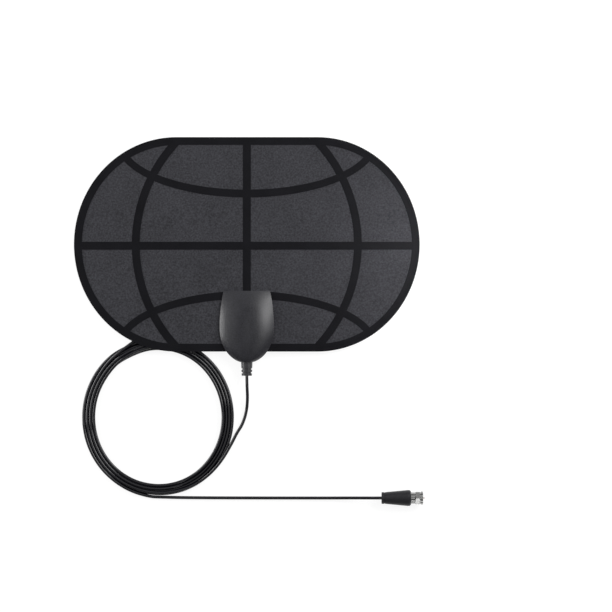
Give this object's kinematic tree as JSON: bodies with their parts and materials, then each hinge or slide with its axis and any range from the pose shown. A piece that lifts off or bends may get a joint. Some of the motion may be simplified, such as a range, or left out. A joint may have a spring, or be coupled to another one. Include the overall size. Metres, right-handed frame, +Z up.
{
  "type": "indoor tv antenna",
  "caption": "Flat flexible indoor TV antenna with raised globe lines, a domed matching housing, and a coiled coaxial lead that ends in a screw-on plug.",
  "frame": {"origin": "on the table, under the middle of the panel, housing and strain relief taken together", "axes": "+X along the panel, +Y from the cable end to the far edge, +Z up out of the panel's face"},
  "size_m": [0.3349, 0.3523, 0.0175],
  "materials": {
    "sheet_plastic": "dark grey film with a fine woven grain",
    "line_print": "near-black, a little smoother than the film",
    "foil": "thin bare foil",
    "housing_plastic": "satin dark grey moulded plastic",
    "screw_steel": "dark zinc-plated steel",
    "board_laminate": "green circuit board",
    "rivet_brass": "tinned brass",
    "ferrite": "sintered ferrite",
    "clamp_steel": "tinned steel",
    "dielectric_white": "milky polyethylene",
    "copper_wire": "bare copper",
    "relief_rubber": "soft black moulded plastic",
    "cable_jacket": "black glossy vinyl jacket",
    "boot_plastic": "black moulded boot",
    "nickel_plate": "bright nickel-plated metal"
  },
  "bodies": {
    "antenna": {"front_sheet": "sheet_plastic", "back_sheet": "sheet_plastic", "foil_left": "foil", "foil_right": "foil", "globe_lines": "line_print", "housing_front": "housing_plastic", "housing_back": "housing_plastic", "housing_screws": "screw_steel", "matching_board": "board_laminate", "foil_rivets": "rivet_brass", "balun_core": "ferrite", "cable_clamp": "clamp_steel", "coax_dielectric": "dielectric_white", "coax_conductor": "copper_wire", "strain_relief": "relief_rubber", "cable_lead": "cable_jacket", "cable_coil": "cable_jacket", "cable_fold": "cable_jacket", "cable_tail": "cable_jacket", "plug_boot": "boot_plastic", "plug_body": "nickel_plate", "plug_insulator": "dielectric_white", "centre_pin": "copper_wire"},
    "nut": {"coupling_nut": "nickel_plate"}
  },
  "joints": [
    {"name": "nut_spin", "type": "hinge", "parent": "antenna", "child": "nut", "pos_m": [0.1644, -0.2307, 0.0076], "axis": [1, 0, 0], "continuous": true}
  ]
}
